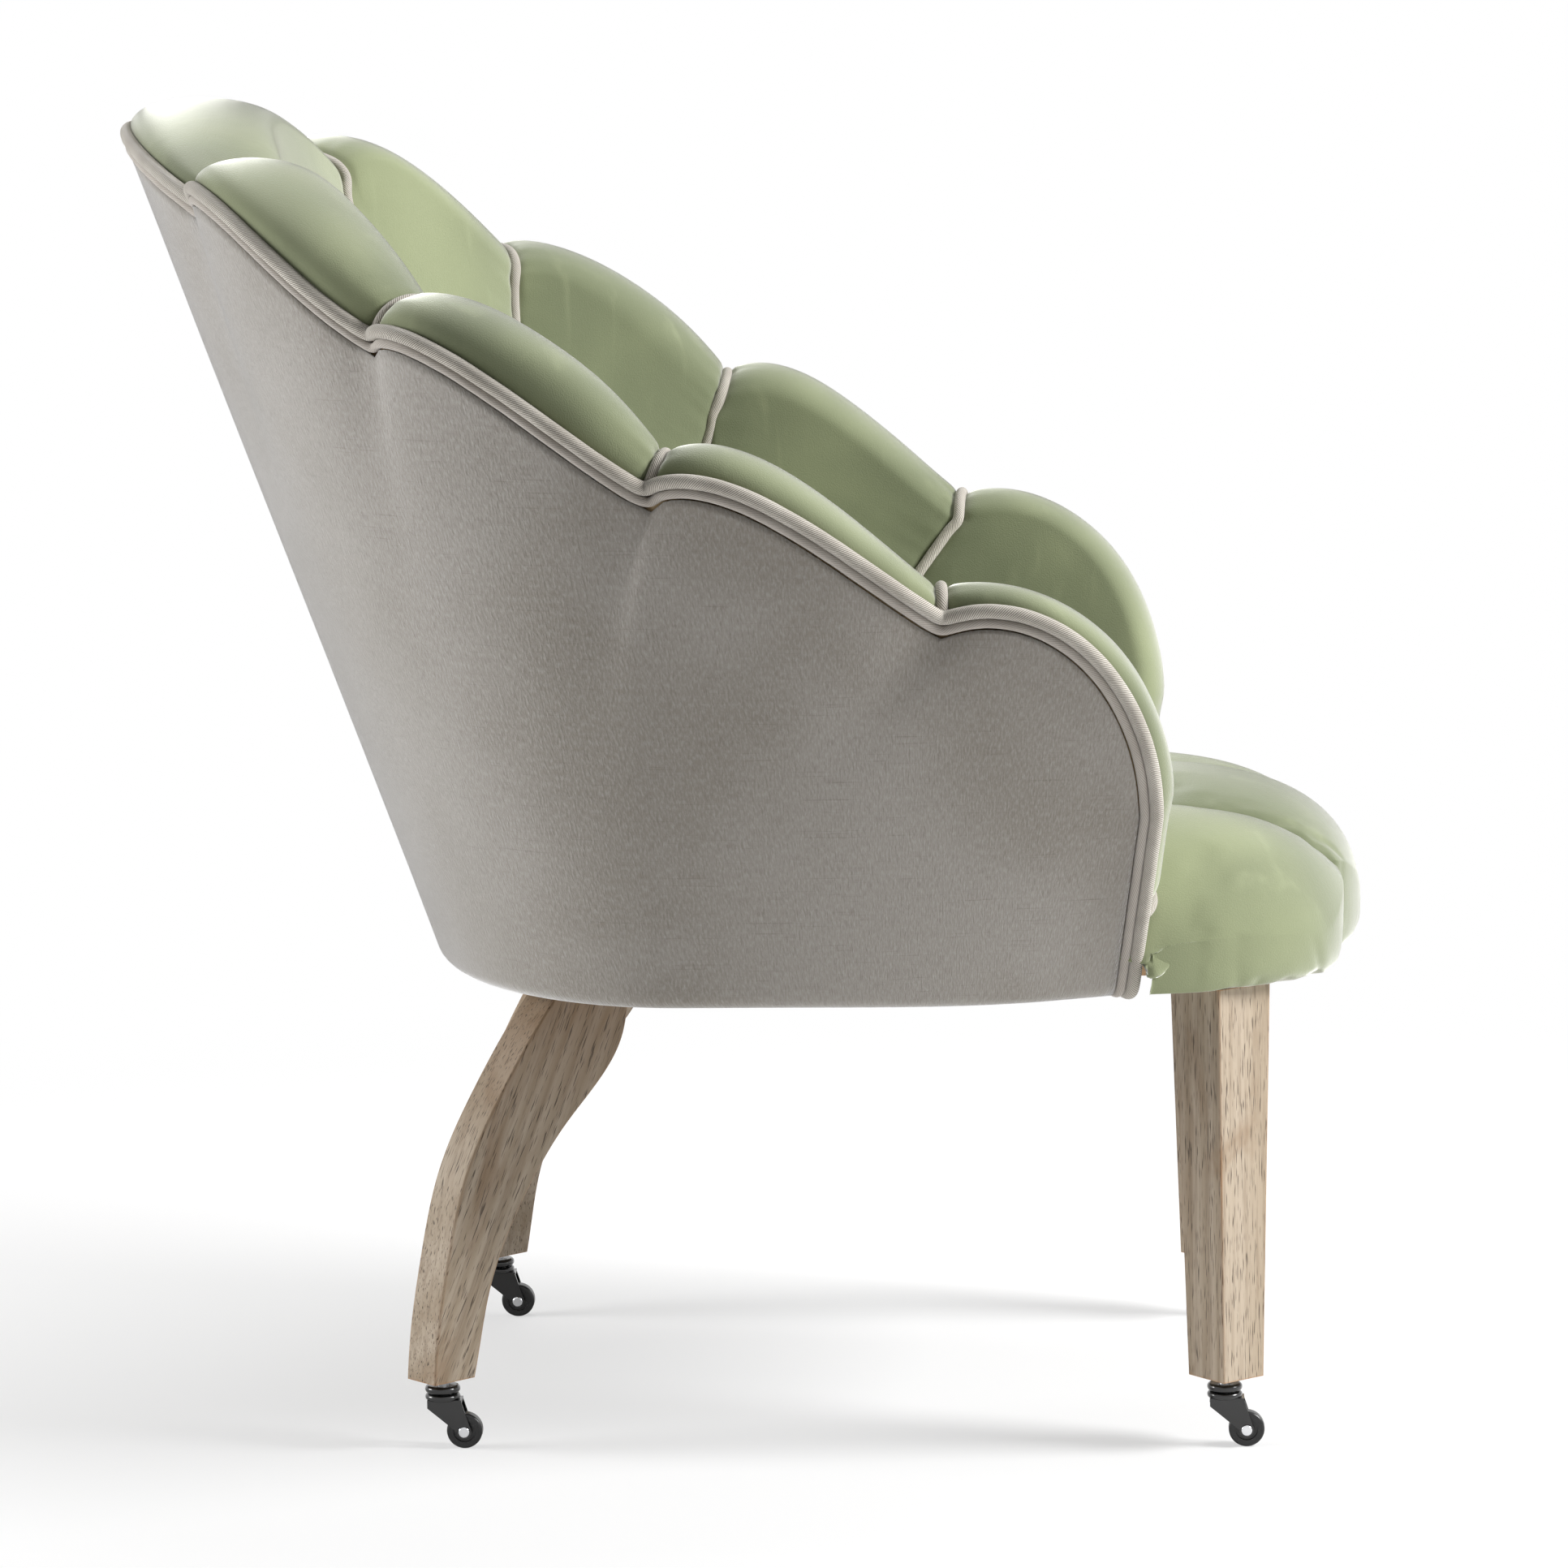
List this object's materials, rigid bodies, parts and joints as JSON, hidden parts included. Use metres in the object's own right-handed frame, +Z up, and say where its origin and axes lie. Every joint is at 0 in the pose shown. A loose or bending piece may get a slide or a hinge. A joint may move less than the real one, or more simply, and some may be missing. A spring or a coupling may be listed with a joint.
{
  "type": "scallop back armchair",
  "caption": "Barrel armchair with a fluted, scalloped velvet back, piped rim, lobed seat pad, wooden legs and swivel casters.",
  "frame": {"origin": "on the floor, under the centre of the chair's overall box", "axes": "+Z up, +Y towards the back of the chair, so the sitter faces -Y; +X to the sitter's left; the chair is alike on both sides of the YZ plane"},
  "size_m": [0.7416, 0.8419, 0.8998],
  "materials": {
    "green_velvet": "short pile velvet, sage green",
    "grey_linen": "fine woven velvet, grey beige",
    "grey_twill": "twill bias piping, warm grey",
    "black_cloth": "spun-bonded dust cloth",
    "foam": "cut polyurethane foam",
    "limed_oak": "weathered grey lime wax, open grain",
    "beech_frame": "sawn, unfinished",
    "bent_plywood": "moulded birch veneers",
    "plain_steel": "zinc plated",
    "chrome": "polished",
    "black_enamel": "gloss black enamel",
    "black_plastic": "moulded, gloss"
  },
  "bodies": {
    "chair": {"back_centre_flute": "green_velvet", "left_back_flute": "green_velvet", "left_rear_side_flute": "green_velvet", "left_front_side_flute": "green_velvet", "left_arm_flute": "green_velvet", "left_ply_shell": "bent_plywood", "left_side_rail": "beech_frame", "left_seat_lobe": "green_velvet", "left_front_leg": "limed_oak", "left_rear_leg": "limed_oak", "right_back_flute": "green_velvet", "right_rear_side_flute": "green_velvet", "right_front_side_flute": "green_velvet", "right_arm_flute": "green_velvet", "right_ply_shell": "bent_plywood", "right_side_rail": "beech_frame", "right_seat_lobe": "green_velvet", "right_front_leg": "limed_oak", "right_rear_leg": "limed_oak", "back_ply_shell": "bent_plywood", "outside_cover": "grey_linen", "edge_piping_upper": "grey_twill", "edge_piping_lower": "grey_twill", "channel_piping": "grey_twill", "back_rail": "beech_frame", "front_rail": "beech_frame", "front_corner_blocks": "beech_frame", "rear_corner_blocks": "beech_frame", "rear_cross_rail": "beech_frame", "seat_centre_lobe": "green_velvet", "seat_foam": "foam", "dust_cover": "black_cloth", "seat_springs": "plain_steel", "spring_clips": "plain_steel", "leg_bolts": "plain_steel", "caster_sockets": "plain_steel", "front_right_caster_cap": "black_plastic", "front_right_caster_stem": "chrome", "front_left_caster_cap": "black_plastic", "front_left_caster_stem": "chrome", "rear_right_caster_cap": "black_plastic", "rear_right_caster_stem": "chrome", "rear_left_caster_cap": "black_plastic", "rear_left_caster_stem": "chrome"},
    "front_right_swivel": {"front_right_caster_fork": "black_enamel", "front_right_caster_axle": "chrome"},
    "front_right_wheel": {"front_right_caster_wheel": "black_plastic"},
    "front_left_swivel": {"front_left_caster_fork": "black_enamel", "front_left_caster_axle": "chrome"},
    "front_left_wheel": {"front_left_caster_wheel": "black_plastic"},
    "rear_right_swivel": {"rear_right_caster_fork": "black_enamel", "rear_right_caster_axle": "chrome"},
    "rear_right_wheel": {"rear_right_caster_wheel": "black_plastic"},
    "rear_left_swivel": {"rear_left_caster_fork": "black_enamel", "rear_left_caster_axle": "chrome"},
    "rear_left_wheel": {"rear_left_caster_wheel": "black_plastic"}
  },
  "joints": [
    {"name": "front_right_swivel_turn", "type": "hinge", "parent": "chair", "child": "front_right_swivel", "pos_m": [-0.187, -0.321, 0.03], "axis": [0, 0, 1], "continuous": true},
    {"name": "front_right_wheel_roll", "type": "hinge", "parent": "front_right_swivel", "child": "front_right_wheel", "pos_m": [-0.187, -0.3355, 0.012], "axis": [1, 0, 0], "continuous": true},
    {"name": "front_left_swivel_turn", "type": "hinge", "parent": "chair", "child": "front_left_swivel", "pos_m": [0.187, -0.321, 0.03], "axis": [0, 0, 1], "continuous": true},
    {"name": "front_left_wheel_roll", "type": "hinge", "parent": "front_left_swivel", "child": "front_left_wheel", "pos_m": [0.187, -0.3355, 0.012], "axis": [1, 0, 0], "continuous": true},
    {"name": "rear_right_swivel_turn", "type": "hinge", "parent": "chair", "child": "rear_right_swivel", "pos_m": [-0.191, 0.204, 0.03], "axis": [0, 0, 1], "continuous": true},
    {"name": "rear_right_wheel_roll", "type": "hinge", "parent": "rear_right_swivel", "child": "rear_right_wheel", "pos_m": [-0.191, 0.1895, 0.012], "axis": [1, 0, 0], "continuous": true},
    {"name": "rear_left_swivel_turn", "type": "hinge", "parent": "chair", "child": "rear_left_swivel", "pos_m": [0.191, 0.204, 0.03], "axis": [0, 0, 1], "continuous": true},
    {"name": "rear_left_wheel_roll", "type": "hinge", "parent": "rear_left_swivel", "child": "rear_left_wheel", "pos_m": [0.191, 0.1895, 0.012], "axis": [1, 0, 0], "continuous": true}
  ]
}
